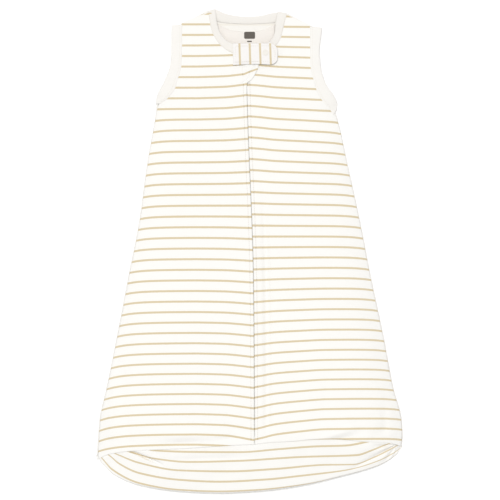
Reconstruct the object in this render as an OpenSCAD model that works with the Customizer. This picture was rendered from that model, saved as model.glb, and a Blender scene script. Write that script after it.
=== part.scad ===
// Baby sleeping bag, sleeveless, lying flat on its back. Millimetres.
// +X is to the right seen from above, +Y towards the neck, +Z up out of the front.
// "Left" and "right" in the node names are as seen from above.

/* [Cloth] */
// Thickness of the front, back and foot cloth.
cloth_t = 1.2; // [0.8:0.1:2]
// Height of the upper cloth where it meets the back at a side seam.
edge_h = 2.7; // [2.5:0.1:4]
// Thickness of the bound edges at neck and armholes.
binding_t = 2.4; // [1.8:0.1:3]
// Width of the rolled side and foot seams.
seam_w = 2; // [1.5:0.5:4]

/* [Loft] */
// Height of the front above the floor at the neck points.
neck_h = 6.5; // [6:0.5:10]
// Rise of the front for each millimetre towards the foot.
rise = 0.0446; // [0.02:0.0002:0.06]
// How flat the front stays before it rolls down to the side seams.
roll = 6; // [4:1:8]

/* [Zip] */
// Lean of the zip line, in degrees from the length of the bag.
zip_lean = 1.245; // [0:0.005:3]
// Half width of the gap that the slider needs near the top of the zip.
slider_gap = 5.2; // [5:0.1:7]
// Width of each zip tape from the zip line.
tape_w = 11; // [9:0.5:12]
// Half width of a flap at the foot end of the zip.
flap_foot_w = 14; // [13:0.5:20]

/* [Tab] */
// Length of the tab that covers the top of the zip.
tab_l = 70; // [60:1:80]
// Width of the tab.
tab_w = 34.5; // [30:0.5:40]
// Radius of the corners at the tab's free end.
tab_r = 12; // [6:1:16]

/* [Snap] */
// Diameter of the snap fastener's cap.
cap_d = 9.5; // [8:0.5:12]
// Diameter of the head of the stud.
stud_d = 4.2; // [3.6:0.1:5]
// Play between the stud and its socket, all round.
snap_play = 0.4; // [0.3:0.05:0.6]

/* [Hidden] */
$fn = 48;
neck_y = 372;          // the neck points
foot_y = -285;         // foot end of both flaps
flap_y = 344.5;        // neck end of both flaps
seam_gap = 0.1;        // between pieces of one body
move_gap = 0.7;        // beside a crease
close_gap = 0.4;       // between a closed edge and the zip line
tilt = atan(rise);
recenter = [-2, 1.65, 0];
cloth_c = [0.96, 0.95, 0.9];
trim_c = [0.9, 0.88, 0.83];
metal_c = [0.75, 0.75, 0.76];

// Height of the flat middle of the front at y.
function front_h(y) = neck_h + (neck_y - y) * rise;
// The zip line and the two crease lines that the flaps fold about.
function zip_x(y) = 2.56 - y * tan(zip_lean);
function crease_left(y) = zip_x(y) - lookup(y, [[foot_y, flap_foot_w], [neck_y, 54]]);
function crease_right(y) = zip_x(y) + lookup(y, [[foot_y, flap_foot_w], [neck_y, 62]]);

// Half width that shapes the roll of the front: the side seams, then wider at the open armholes.
function roll_left(y) = lookup(y, [[-317, 234], [-262, 229], [-138, 203], [48, 167], [135, 155],
    [209, 142], [228, 139], [245, 148], [285, 160]]);
function roll_right(y) = lookup(y, [[-317, 238], [-262, 237], [-138, 210], [48, 172], [135, 153],
    [209, 136], [216, 132], [240, 142], [285, 155]]);
function roll_at(x, y) = x < 0 ? -x / roll_left(y) : x / roll_right(y);
// Height of the top of the front at a point.
function top_h(x, y) = edge_h + (front_h(y) - edge_h) * (1 - pow(min(roll_at(x, y), 1), roll));

// Outer edge of the front's cloth: armhole seam, then side seam.
outer_left = [[-317, -234], [-301, -232], [-262, -229], [-212, -218], [-138, -203], [-39, -184],
    [48, -167], [135, -155], [209, -142], [228, -139], [237, -127], [253, -115], [270, -110],
    [285, -105], [312, -104], [351, -104], [371, -64]];
outer_right = [[-301, 237], [-262, 237], [-212, 224], [-138, 210], [-39, 189], [48, 172],
    [135, 153], [209, 136], [216, 132], [234, 115], [251, 106], [283, 99], [309, 98],
    [348, 98], [366, 62]];
// Inner edge of each side of the front: neck seam, crease, then the zip line below the flaps.
function inner_left(y) = y > flap_y ? lookup(y, [[flap_y, -58.5], [355, -61], [371, -63]])
    : y > foot_y ? crease_left(y) - move_gap : zip_x(y) - seam_gap;
function inner_right(y) = y > flap_y ? lookup(y, [[flap_y, 57], [355, 58], [366, 61]])
    : y > foot_y ? crease_right(y) + move_gap : zip_x(y) + seam_gap;

// Front hem and the outer edge of the foot panel.
function hem_y(x) = lookup(x, [[-234, -314], [-183, -302], [-74, -299], [9, -296], [81, -290],
    [143, -290], [212, -295], [238, -303]]);
foot_line = [[-234, -317], [-221, -335], [-205, -347], [-185, -359], [-129, -372], [-80, -376],
    [-28, -378], [10, -377], [48, -372], [101, -359], [157, -347], [196, -335], [220, -322],
    [238, -305]];
function foot_edge_y(x) = lookup(x, foot_line);

// A curved sheet: rows of points on its top face, made solid downwards by t.
module sheet(rows, t) {
    n = len(rows);
    m = len(rows[0]);
    top = [for (row = rows) for (p = row) p];
    low = [for (p = top) p - [0, 0, t]];
    k = n * m;
    edge = concat([for (j = [0:m - 1]) j], [for (i = [1:n - 1]) i * m + m - 1],
        [for (j = [m - 2:-1:0]) (n - 1) * m + j], [for (i = [n - 2:-1:1]) i * m]);
    polyhedron(concat(top, low), concat(
        [for (i = [0:n - 2], j = [0:m - 2]) each [
            [i * m + j, (i + 1) * m + j + 1, i * m + j + 1],
            [i * m + j, (i + 1) * m + j, (i + 1) * m + j + 1]]],
        [for (i = [0:n - 2], j = [0:m - 2]) each [
            [k + i * m + j, k + i * m + j + 1, k + (i + 1) * m + j + 1],
            [k + i * m + j, k + (i + 1) * m + j + 1, k + (i + 1) * m + j]]],
        [for (e = [0:len(edge) - 1]) let (a = edge[e], b = edge[(e + 1) % len(edge)]) each [
            [a, k + b, k + a], [a, b, k + b]]]));
}

// Places flat pieces on the flat middle of the front; z = 0 is the front's top face.
module on_front() {
    translate([0, 0, front_h(0)]) rotate([-tilt, 0, 0]) children();
}
// The same with x = 0 on the zip line and y along it.
module on_zip() {
    on_front() translate([zip_x(0), 0, 0]) rotate([0, 0, zip_lean]) children();
}
module slab(points, low, high) {
    translate([0, 0, low]) linear_extrude(high - low) polygon(points);
}
module block(x, y, z) {
    translate([min(x), min(y), min(z)])
        cube([abs(x[1] - x[0]), abs(y[1] - y[0]), abs(z[1] - z[0])]);
}

// One side of the front, from the neck and armhole down to the hem.
side_rows = [345, 344, 330, 312, 298, 285, 270, 253, 245, 237, 228, 209, 172, 135, 92, 48, 5, -39,
    -88, -138, -175, -212, -262];
side_steps = [0, 0.25, 0.45, 0.6, 0.7, 0.78, 0.85, 0.91, 0.96, 1];
module front_side(left) {
    outer = left ? outer_left : outer_right;
    upper = left ? [371, 362, 355, 350] : [366, 360, 355, 350];
    function inner(y) = left ? inner_left(y) : inner_right(y);
    function row(y) = [for (s = side_steps)
        let (x = inner(y) + (lookup(y, outer) - inner(y)) * (left ? s : 1 - s)) [x, y, top_h(x, y)]];
    function low_row(f) = [for (s = side_steps)
        let (x0 = inner(-286), x1 = lookup(-286 - 17 * f, outer),
             x = x0 + (x1 - x0) * (left ? s : 1 - s), y = -286 + (hem_y(x) + 286) * f)
        [x, y, top_h(x, y)]];
    rows = [for (y = concat(upper, side_rows, [-284.9])) row(y)];
    color(cloth_c) sheet(concat(rows, [low_row(0), low_row(0.5), low_row(1)]), cloth_t);
}
module front_side_left() front_side(true);
module front_side_right() front_side(false);

// Flaps: the inner parts of the front that fold open, with a notch for the slider at the top.
neck_gap = 4.2;      // half gap between the two ends of the front neck binding
notch_low = 240;     // foot end of the notch
notch_turn = 285;    // where the notch reaches its full width
flap_left_points = [[crease_left(flap_y) + move_gap, flap_y],
    [crease_left(foot_y) + move_gap, foot_y + 0.6], [zip_x(foot_y) - close_gap, foot_y + 0.6],
    [zip_x(notch_low) - close_gap, notch_low], [zip_x(notch_low) - 3.8, notch_low + 4],
    [zip_x(notch_turn) - slider_gap, notch_turn], [zip_x(310) - slider_gap, 310],
    [-24, 314.5], [-36.5, 322], [-46.5, 335], [-51.5, flap_y]];
flap_right_points = [[crease_right(flap_y) - move_gap, flap_y],
    [crease_right(foot_y) - move_gap, foot_y + 0.6], [zip_x(foot_y) + close_gap, foot_y + 0.6],
    [zip_x(notch_low) + close_gap, notch_low], [zip_x(notch_low) + 3.8, notch_low + 4],
    [zip_x(notch_turn) + slider_gap, notch_turn], [zip_x(310) + slider_gap, 310],
    [17, 312.5], [36, 320], [45.5, 334], [48, flap_y]];
snap_at = [27, 308];
rivet_d = 2;
rivet_hole_d = 2.8;
module rivet_hole() {
    translate([snap_at.x, snap_at.y, -10]) cylinder(d = rivet_hole_d, h = 20);
}
module front_flap_left() color(cloth_c) on_front() slab(flap_left_points, -cloth_t, 0);
module front_flap_right() color(cloth_c) on_front() difference() {
    slab(flap_right_points, -cloth_t, 0);
    rivet_hole();
}

// Back panel, neck facing and a plain mark where a size label would be.
back_points = concat([[-63, 370], [-104, 352]],
    [for (i = [14:-1:0]) [outer_left[i][1], outer_left[i][0]]],
    [for (i = [1:len(foot_line) - 1]) foot_line[i]],
    [for (i = [0:12]) [outer_right[i][1], outer_right[i][0]]],
    [[98, 349], [62, 365.5], [57.5, 356], [42, 354.5], [20, 353], [-2, 352.5], [-25, 353.5],
     [-50, 357], [-61, 362]]);
module back_panel() color(cloth_c) slab(back_points, 0, cloth_t);
module back_neck_facing() color(trim_c) slab([[-46, 352], [-24, 343], [-2, 341], [20, 343], [38, 351],
    [44, 335], [34, 310], [16, 293], [-2, 288], [-20, 293], [-38, 310], [-50, 335]],
    cloth_t + seam_gap, cloth_t + 1);
module printed_label() color([0.3, 0.3, 0.32]) {
    slab([[-6, 330], [11, 330], [11, 341], [-6, 341]], cloth_t + 1.1, cloth_t + 1.4);
}

// Bound neck edge. The back piece carries a short stub down each side of the front.
module neck_binding_back() color(trim_c) {
    slab([[-62, 374], [-51, 377], [-40, 371], [-25, 366.5], [-1.6, 364], [22, 366], [36, 369.5],
        [46.5, 373], [60.5, 369.5], [58, 361], [42, 354.6], [20, 353.1], [-2, 352.6],
        [-25, 353.6], [-50, 357.1], [-61, 362.2]], 0, binding_t);
    on_front() slab([[-62.5, 372], [-60.5, 355], [-58, 345.2], [-46.5, 345.2], [-49.5, 356],
        [-51, 375]], 0.8 - binding_t, 0.8);
    on_front() slab([[46.5, 371], [42, 355], [41.5, 345.2], [56, 345.2], [57.2, 356],
        [60.5, 368]], 0.8 - binding_t, 0.8);
    block([-61.5, -51.5], [369, 372], [0.5, 5.5]);
    block([47.5, 59.5], [365, 368], [0.5, 5.5]);
}
module neck_binding(points, flap) {
    on_front() difference() {
        slab(points, -2.3, 1.1);
        slab(flap, -cloth_t - 0.05, 0.05);
    }
}
module neck_binding_left() color(trim_c) neck_binding([[-56.2, flap_y], [-54, 335], [-42, 318],
    [-25, 307], [zip_x(303) - neck_gap, 303.5], [zip_x(318) - neck_gap, 318], [-23, 323], [-31, 327],
    [-40, 336], [-46, flap_y]], flap_left_points);
module neck_binding_right() color(trim_c) difference() {
    neck_binding([[54, flap_y], [51, 332], [40, 316], [24, 307], [zip_x(303) + neck_gap, 303.5],
        [zip_x(318) + neck_gap, 318], [16, 320], [34, 325], [41, 336], [42, flap_y]],
        flap_right_points);
    on_front() rivet_hole();
}

// Bound armhole: a front strip on the lofted cloth, a back strip, and a bridge at the shoulder.
arm_left = [[[-104, 351], [-119, 350]], [[-104, 312], [-119, 312]], [[-105, 285], [-122, 284]],
    [[-110, 270], [-127, 271]], [[-115, 253], [-132, 259]], [[-127, 237], [-143, 240]],
    [[-138.6, 228.4], [-143.6, 228]]];
arm_right = [[[98, 348], [115, 347]], [[98, 309], [111, 309]], [[99, 283], [113, 284]],
    [[106, 251], [121, 259]], [[115, 234], [134, 240]], [[131.6, 216.6], [137.6, 219]]];
module armhole(pairs, out) {
    inside = [for (q = pairs) q[0] + [out * 0.6, 0]];
    outside = [for (q = pairs) q[1]];
    function lifted(p) = [p.x, p.y, top_h(p.x, p.y)];
    sheet([for (i = [0:len(pairs) - 1]) out > 0 ? [lifted(outside[i]), lifted(inside[i])]
        : [lifted(inside[i]), lifted(outside[i])]], cloth_t);
    slab(concat(inside, [for (i = [len(pairs) - 1:-1:0]) outside[i]]), 0, cloth_t);
    block([inside[0].x, outside[0].x], [inside[0].y - 2, inside[0].y - 3.4], [0.6, 6.2]);
}
module armhole_binding_left() color(trim_c) armhole(arm_left, -1);
module armhole_binding_right() color(trim_c) armhole(arm_right, 1);

// Shoulder seams join the lofted front to the back.
module shoulder_seam(a, b) {
    run = b - a;
    translate([a.x, a.y, cloth_t + seam_gap]) rotate([0, 0, atan2(run.y, run.x)])
        translate([0, -1.2, 0]) cube([norm(run), 1.2, 3.6]);
}
module shoulder_seam_left() color(cloth_c) shoulder_seam([-102.5, 349.5], [-64.5, 367.5]);
module shoulder_seam_right() color(cloth_c) shoulder_seam([63.5, 363.5], [96.5, 346.5]);

// Rolled side and foot seams run just outside the cloth edges.
module rolled_seam(inner, out) {
    slab(concat([for (p = inner) p + out * seam_gap],
        [for (i = [len(inner) - 1:-1:0]) inner[i] + out * seam_w]), 0, edge_h);
}
module side_seam_left() color(cloth_c)
    rolled_seam([for (i = [1:9]) [outer_left[i][1], outer_left[i][0]]], [-1, 0]);
module side_seam_right() color(cloth_c)
    rolled_seam([for (i = [1:8]) [outer_right[i][1], outer_right[i][0]]], [1, 0]);
module foot_seam() color(cloth_c) rolled_seam(foot_line, [0, -1]);

// Crescent foot panel, falling from the front hem to the foot seam.
foot_cols = [-233, -226, -215, -200, -183, -160, -129, -100, -74, -40, -9, 20, 48, 81, 110, 143,
    170, 195, 212, 225, 237];
module foot_gusset() color(cloth_c) sheet([for (v = [0, 0.15, 0.35, 0.55, 0.75, 0.9, 1])
    [for (i = [len(foot_cols) - 1:-1:0])
        let (x = foot_cols[i], y0 = hem_y(x) - 2.4, y1 = min(foot_edge_y(x) + 0.1, y0 - 0.5))
        [x, y0 + (y1 - y0) * v,
         edge_h + 0.1 + (top_h(x, hem_y(x)) - edge_h - 0.6) * (1 - v * v)]]], cloth_t);

// The rolled seam between the front and the foot panel.
module hem_seam() color(cloth_c) sheet([for (d = [1.1, 2.3])
    [for (i = [len(foot_cols) - 1:-1:0])
        let (x = foot_cols[i]) [x, hem_y(x) - d, top_h(x, hem_y(x)) + 0.1]]], 1.6);

// Zip: tapes and coils ride on the flaps, the slider runs between them.
coil_top = 240;          // neck end of the coils when the zip is closed
slider_y = 296;          // centre of the slider at rest
module zip_tape(s) {
    on_zip() slab([for (p = [[3.8, 241], [slider_gap + 0.4, 275], [slider_gap + 0.4, 303.2],
        [tape_w, 303.2], [tape_w, foot_y + 1], [0.9, foot_y + 1], [0.9, 241]]) [s * p.x, p.y]],
        -cloth_t - 1.1, -cloth_t - 0.1);
}
module zip_tape_left() color(trim_c) zip_tape(-1);
module zip_tape_right() color(trim_c) zip_tape(1);
// The coils stand back from the zip line, so that the two narrow flap ends clear as they turn up.
coil_gap = [[-283.5, 1.6], [-200, 1.2], [-100, 1], [0, 0.8], [240, 0.6]];
module zip_coil(s) {
    on_zip() slab(concat([for (p = coil_gap) [s * p[1], p[0]]],
        [[s * 2.9, coil_top], [s * 3.6, coil_gap[0][0]]]), -4.4, -2.4);
}
module zip_coil_left() color(trim_c) zip_coil(-1);
module zip_coil_right() color(trim_c) zip_coil(1);
module zip_top_stop(s) {
    on_zip() block([s * 0.8, s * 7], [304.2, 307], [-4.6, -2.4]);
}
module zip_top_stop_left() color(trim_c) zip_top_stop(-1);
module zip_top_stop_right() color(trim_c) zip_top_stop(1);
module zip_end_tape() color(trim_c) on_zip()
    block([-tape_w, tape_w], [foot_y - 1, foot_y - 8], [-cloth_t - 1.3, -cloth_t - 0.4]);
module zip_bottom_stop() color(trim_c) on_zip()
    block([-3.2, 3.2], [foot_y - 1.5, foot_y - 4.5], [-4.6, -2.6]);
module zip_topstitch(s) {
    on_zip() block([s * 6, s * 6.6], [299, foot_y + 2], [0.05, 0.45]);
}
module zip_topstitch_left() color(trim_c) zip_topstitch(-1);
module zip_topstitch_right() color(trim_c) zip_topstitch(1);

// Slider: two plates with a neck between them, and two ears that carry the pull's pin.
plate_w = 4.6;
pin_up = 0.7;
pin_y = slider_y + 2;
module zip_slider() color(metal_c) on_zip() {
    block([-plate_w, plate_w], [slider_y - 7, slider_y + 7], [-6.2, -5.2]);
    block([-plate_w, plate_w], [slider_y - 7, slider_y + 7], [-2.2, -1.2]);
    block([-0.8, 0.8], [slider_y + 3, slider_y + 6.5], [-5.3, -2.1]);
    for (s = [-1, 1]) block([s * 2.1, s * 3.1], [pin_y - 1.2, pin_y + 1.2], [-1.3, pin_up + 1]);
    translate([-2.6, pin_y, pin_up]) rotate([0, 90, 0]) cylinder(d = 1, h = 5.2);
}
module zip_pull() color(metal_c) on_zip() difference() {
    union() {
        translate([-1.7, pin_y, pin_up]) rotate([0, 90, 0]) cylinder(d = 2.8, h = 3.4);
        block([-1.7, 1.7], [pin_y + 0.4, pin_y + 4], [pin_up - 0.55, pin_up + 0.55]);
        block([-3, 3], [pin_y + 2.6, pin_y + 15], [pin_up - 0.55, pin_up + 0.55]);
    }
    translate([-3, pin_y, pin_up]) rotate([0, 90, 0]) cylinder(d = 1.4, h = 6);
    translate([0, pin_y + 11.5, -1]) cylinder(d = 2.6, h = 4);
}

// Tab over the top of the zip, sewn to the left flap by a base strip under its left end.
tab_left = -24;
tab_low = 288;
tab_hinge_up = 2.6;
module tab_outline(inset) {
    x1 = tab_l - inset;
    translate([tab_left, tab_low]) union() {
        translate([0.5 + inset, inset]) square([x1 - tab_r - 0.5, tab_w - 2 * inset]);
        translate([x1 - tab_r - 1, tab_r]) square([tab_r + 1, tab_w - 2 * tab_r]);
        for (y = [tab_r, tab_w - tab_r]) translate([x1 - tab_r + inset, y])
            circle(r = tab_r - inset);
    }
}
module tab_layer(low, high) {
    on_front() difference() {
        translate([0, 0, low]) linear_extrude(high - low) tab_outline(0);
        rivet_hole();
    }
}
module tab_under_layer() color(cloth_c) tab_layer(3.1, 4.1);
module tab_outer_layer() color(cloth_c) tab_layer(4.2, 5.2);
module tab_topstitch() color(trim_c) on_front() translate([0, 0, 5.25]) linear_extrude(0.3)
    difference() {
        tab_outline(3.6);
        tab_outline(4.2);
    }
module tab_base() color(cloth_c) on_front() {
    block([tab_left + 0.6, tab_left + 9], [tab_low + 1, tab_low + tab_w - 1.5], [1.2, 2.2]);
    block([tab_left + 0.6, tab_left + 9], [tab_low + 1, 300], [0.1, 1.3]);
}

// Snap: cap and socket on the tab, stud and its back ring on the right flap.
module at_snap(z) {
    on_front() translate([snap_at.x, snap_at.y, z]) children();
}
module snap_cap() color(metal_c) {
    at_snap(5.6) difference() {
        cylinder(d = cap_d, h = 0.9);
        translate([0, 0, 0.5]) cylinder(d = cap_d - 3.4, h = 1);
    }
    at_snap(3.3) cylinder(d = rivet_d, h = 2.4);
}
module snap_socket() color(metal_c) at_snap(2) difference() {
    cylinder(d = cap_d - 0.5, h = 1);
    translate([0, 0, -1]) cylinder(d = stud_d + 2 * snap_play, h = 3);
}
module snap_stud() color(metal_c) {
    at_snap(1.2) cylinder(d = 8, h = 0.5);
    at_snap(1.6) cylinder(d = stud_d, h = 1.2);
    at_snap(-2.4) cylinder(d = rivet_d, h = 3.7);
}
module snap_stud_back_ring() color(metal_c) at_snap(-3.3) cylinder(d = 8, h = 0.9);

// Which piece to show.

translate(recenter) {
    back_panel();
    back_neck_facing();
    printed_label();
    neck_binding_back();
    front_side_left();
    front_side_right();
    foot_gusset();
    hem_seam();
    foot_seam();
    side_seam_left();
    side_seam_right();
    shoulder_seam_left();
    shoulder_seam_right();
    armhole_binding_left();
    armhole_binding_right();
    zip_end_tape();
    zip_bottom_stop();
    front_flap_left();
    neck_binding_left();
    zip_tape_left();
    zip_coil_left();
    zip_top_stop_left();
    zip_topstitch_left();
    tab_base();
    front_flap_right();
    neck_binding_right();
    zip_tape_right();
    zip_coil_right();
    zip_top_stop_right();
    zip_topstitch_right();
    snap_stud();
    snap_stud_back_ring();
    tab_under_layer();
    tab_outer_layer();
    tab_topstitch();
    snap_cap();
    snap_socket();
    zip_slider();
    zip_pull();
}
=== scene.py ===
"""Looks of the baby sleeping bag: striped knit cloth, rib bindings, zip, tab and snap.

Lengths inside the script are millimetres in the bag's own layout, where x is measured from the
middle and y from the waist; at() turns them into metres in the record's frame.
"""
import math

import bmesh
import bpy
import numpy as np
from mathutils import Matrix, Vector


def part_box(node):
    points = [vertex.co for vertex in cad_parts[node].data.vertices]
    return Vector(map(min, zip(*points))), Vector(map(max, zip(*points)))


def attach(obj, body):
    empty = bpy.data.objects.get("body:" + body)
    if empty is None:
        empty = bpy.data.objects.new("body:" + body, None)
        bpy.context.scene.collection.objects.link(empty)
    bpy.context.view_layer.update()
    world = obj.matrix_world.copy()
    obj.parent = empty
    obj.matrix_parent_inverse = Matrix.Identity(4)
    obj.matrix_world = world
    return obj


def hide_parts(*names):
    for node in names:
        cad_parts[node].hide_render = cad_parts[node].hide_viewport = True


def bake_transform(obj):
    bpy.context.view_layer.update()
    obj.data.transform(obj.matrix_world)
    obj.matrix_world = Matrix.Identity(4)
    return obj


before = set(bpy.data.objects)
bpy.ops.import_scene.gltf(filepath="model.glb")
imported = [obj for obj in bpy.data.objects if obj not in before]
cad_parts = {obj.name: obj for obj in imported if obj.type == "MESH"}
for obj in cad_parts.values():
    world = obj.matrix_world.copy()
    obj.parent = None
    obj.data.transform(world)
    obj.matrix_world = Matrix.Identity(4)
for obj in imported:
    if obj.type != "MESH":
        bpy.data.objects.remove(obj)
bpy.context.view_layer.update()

# ---------------------------------------------------------------- frame and camera

LABEL_AT = (2.5, 335.5)  # centre of the printed mark in the bag's own layout
label_low, label_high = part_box("printed_label")
label_mid = (label_low + label_high) * 500
SHIFT = np.array([label_mid.x - LABEL_AT[0], label_mid.y - LABEL_AT[1], 0.0])

MM_PER_VIEW = 775.5  # width of cloth and floor that the camera takes in
CAMERA_UP = 5000.0
SENSOR = 36.0
FOCUS_Z = 15.0


def at(x, y, z):
    """Points in metres, in the record's frame, from millimetres in the bag's layout."""
    p = np.stack(np.broadcast_arrays(np.asarray(x, float), y, z), -1) + SHIFT
    return p / 1000


camera = bpy.data.objects.new("camera", bpy.data.cameras.new("camera"))
bpy.context.scene.collection.objects.link(camera)
camera.location = at(3.1, 1.6, CAMERA_UP)
camera.data.sensor_width = SENSOR
camera.data.lens = SENSOR * (CAMERA_UP - FOCUS_Z) / MM_PER_VIEW
camera.data.clip_end = 50
bpy.context.scene.camera = camera
bpy.context.scene.view_settings.view_transform = "Standard"

# ---------------------------------------------------------------- shape of the bag

NECK_Y, NECK_H, RISE = 372.0, 6.5, 0.0446
EDGE_H, ROLL = 2.7, 6
CLOTH_THICK = 1.1
BACK_Z = 1.25  # height of the back's top face
ZIP_LEAN = math.radians(1.245)  # of the slider's straight path
ZIP_MID_X = 2.56  # where that path crosses y = 0
SLIDER_Y = 296.0
ZIP_END_Y = -293.0
FLAP_END_Y = -285.0
OPEN_END_Y = -258.0  # below this the cloth stays flat when the front is opened
STITCH_LEFT, STITCH_RIGHT = -5.5, 4.8  # the two stitch rows, from the zip line


def spline(points):
    """A smooth function of the first coordinate through the points."""
    p = np.array(sorted(points), float)
    xs, ys = p[:, 0], p[:, 1]
    step = np.diff(xs)
    slope = np.diff(ys) / step
    m = np.empty_like(ys)
    m[0], m[-1] = slope[0], slope[-1]
    same = slope[:-1] * slope[1:] > 0
    m[1:-1] = np.where(same, 2 * slope[:-1] * slope[1:] / (slope[:-1] + slope[1:] + 1e-12), 0)

    def value(x):
        x = np.clip(np.asarray(x, float), xs[0], xs[-1])
        i = np.clip(np.searchsorted(xs, x) - 1, 0, len(xs) - 2)
        h = step[i]
        t = (x - xs[i]) / h
        return (
            ys[i] * (2 * t**3 - 3 * t**2 + 1)
            + m[i] * h * (t**3 - 2 * t**2 + t)
            + ys[i + 1] * (3 * t**2 - 2 * t**3)
            + m[i + 1] * h * (t**3 - t**2)
        )

    return value


def ramp(x, a, b):
    """0 at a, 1 at b, smooth between."""
    t = np.clip((np.asarray(x, float) - a) / (b - a), 0, 1)
    return t * t * (3 - 2 * t)


def bump(x, centre, width):
    return np.exp(-(((np.asarray(x, float) - centre) / width) ** 2))


def path(points, count):
    """count points spaced along a smooth curve through the given points."""
    p = np.array(points, float)
    s = np.concatenate([[0], np.cumsum(np.linalg.norm(np.diff(p, axis=0), axis=1))])
    t = np.linspace(0, s[-1], 400)
    q = np.stack([spline(list(zip(s, p[:, i])))(t) for i in range(p.shape[1])], -1)
    d = np.concatenate([[0], np.cumsum(np.linalg.norm(np.diff(q, axis=0), axis=1))])
    u = np.linspace(0, d[-1], count)
    return np.stack([np.interp(u, d, q[:, i]) for i in range(p.shape[1])], -1)


zip_x = spline([(380, -5.6), (296, -3.9), (259, -1.9), (205, -0.3), (172, 0.8), (84, 4.6),
                (36, 6.5), (-19, 8.1), (-76, 9.0), (-180, 9.8), (-300, 10.2)])


def flat_h(y):
    """Height of the flat middle of the front."""
    return NECK_H + (NECK_Y - np.asarray(y, float)) * RISE


roll_left = spline([(-317, 236), (-301, 234), (-262, 231), (-212, 220), (-138, 205), (-39, 186),
                    (48, 169), (135, 157), (209, 144), (228, 141), (250, 151), (285, 160)])
roll_right = spline([(-317, 240), (-287, 241), (-262, 239), (-212, 226), (-138, 212), (-39, 191),
                     (48, 174), (135, 155), (209, 138), (216, 134), (240, 146), (285, 155)])


def cloth_h(x, y):
    """Height of the front's top face without folds."""
    u = np.where(x < 0, -x / roll_left(y), x / roll_right(y))
    return EDGE_H + (flat_h(y) - EDGE_H) * (1 - np.clip(u, 0, 1) ** ROLL)


def hem_folds(x, y):
    """The loose folds above the hem and the hollows beside the lower sides."""
    out = -2.2 * bump(x, -30, 20) * bump(y - 0.12 * (x + 30), -290, 6)
    out += -2.0 * bump(x, -106, 26) * bump(y - 0.05 * (x + 106), -298, 5)
    out += -1.6 * bump(x, -20, 16) * bump(y + 0.25 * x, -281, 6)
    out += 1.9 * bump(x, -95, 36) * bump(y, -285, 6)
    out += 2.3 * bump(x, 145, 26) * bump(y - 0.3 * (x - 145), -280, 5)
    out += -2.0 * bump(x, 140, 30) * bump(y - 0.2 * (x - 140), -291, 4.5)
    out += -1.6 * bump(x, 172, 10) * bump(y + 0.4 * (x - 172), -275, 9)
    out += -1.6 * bump(x, 205, 12) * bump(y - 0.5 * (x - 205), -280, 9)
    out += -1.4 * bump(x, 212, 6) * bump(y, -262, 30)
    out += -1.2 * bump(x + 0.12 * (y + 200), -196, 10) * ramp(y, -120, -230)
    out += -1.0 * bump(x - 0.06 * (y + 240), 120, 9) * bump(y, -225, 40)
    return out


def folds(x, y):
    """Soft folds and hollows of the front, in millimetres above the plain shape."""
    d = x - zip_x(y)
    below = ramp(y, 262, 240)
    out = -0.5 * bump(d, 0, 1.3) * below
    out += -0.35 * bump(d, STITCH_LEFT, 1.2) - 0.35 * bump(d, STITCH_RIGHT, 1.2)
    out += 0.45 * bump(np.abs(d), 2.6, 1.9) * below * ramp(y, -285, -225)
    out += -0.5 * bump(d, 0, 4) * ramp(y, -225, -245)
    out += -4.2 * bump(d, 20, 5) * ramp(y, 150, -40) * ramp(y, -293, -258)
    out += 0.7 * bump(d, 42, 16) * ramp(y, 150, -40)
    out += -0.9 * bump(d, -22, 12) * ramp(y, 40, -240)
    out += 1.3 * hem_folds(x, y)
    out += 0.5 * np.sin(x / 31 + 0.8) * np.sin(y / 57 + 0.6) * ramp(np.abs(d), 12, 40)
    out += 0.35 * np.sin(x / 17 + y / 43) * ramp(y, 0, -200) * ramp(np.abs(d), 12, 40)
    return out


def front_z(x, y):
    x, y = np.broadcast_arrays(np.asarray(x, float), np.asarray(y, float))
    return cloth_h(x, y) + folds(x, y)


# Stripes: which stripe lies at a place on the cloth, as a number that is whole on a stripe.
STRIPE_PITCH = 16.4
stripe_left = spline([(385, -1), (352.1, 1), (187.5, 11), (20.5, 21), (-142.4, 31),
                      (-283, 40), (-298.9, 41), (-330, 43)])
stripe_right = spline([(380, -1), (347.9, 1), (267, 6), (185, 11), (104.3, 16), (22.5, 21),
                       (-137.1, 31), (-274.6, 40), (-290.5, 41), (-322, 43)])
# How far the stripes rise towards the zip, and how that rise spreads from it.
rise_left = spline([(340, 0.5), (300, 2.5), (269, 4.0), (187, 2.5), (105, 0.9), (20, -1.2),
                    (-142, -3.1), (-267, -4.4), (-290, -5.2)])
rise_right = spline([(345, 1), (300, 4), (269, 5.7), (187, 6.0), (105, 3.3), (20, -0.2),
                     (-142, -7.1), (-285, -14)])
spread_left = spline([(-78, 0), (-36, 0.37), (-12.4, 1), (4, 1.55), (12, 1.75)])
spread_right = spline([(-4, 1.3), (9, 1.19), (21.7, 1), (42, 0.64), (81, 0.3), (119, 0.05),
                       (158, 0)])
droop_left = spline([(230, 0), (100, 1), (0, 2), (-142, 4.5), (-230, 8), (-300, 11)])


def stripes_left(x, y):
    lift = rise_left(y) * spread_left(x)
    lift += np.clip(x + 6, 0, 30) * 0.30 * ramp(y, 258, 268)
    edge = np.clip(-roll_left(y) - x, -200, 0)
    lift -= 3.0 * np.exp(edge / 14) * ramp(y, 230, 180) + droop_left(y) * np.exp(edge / 40)
    return stripe_left(y - lift)


def stripes_right(x, y):
    lift = rise_right(y) * spread_right(x)
    edge = np.clip(x - roll_right(y), -200, 0)
    lift -= 3.5 * np.exp(edge / 16) * ramp(y, 230, 180)
    return stripe_right(y - lift)


# ---------------------------------------------------------------- mesh helpers


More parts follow.
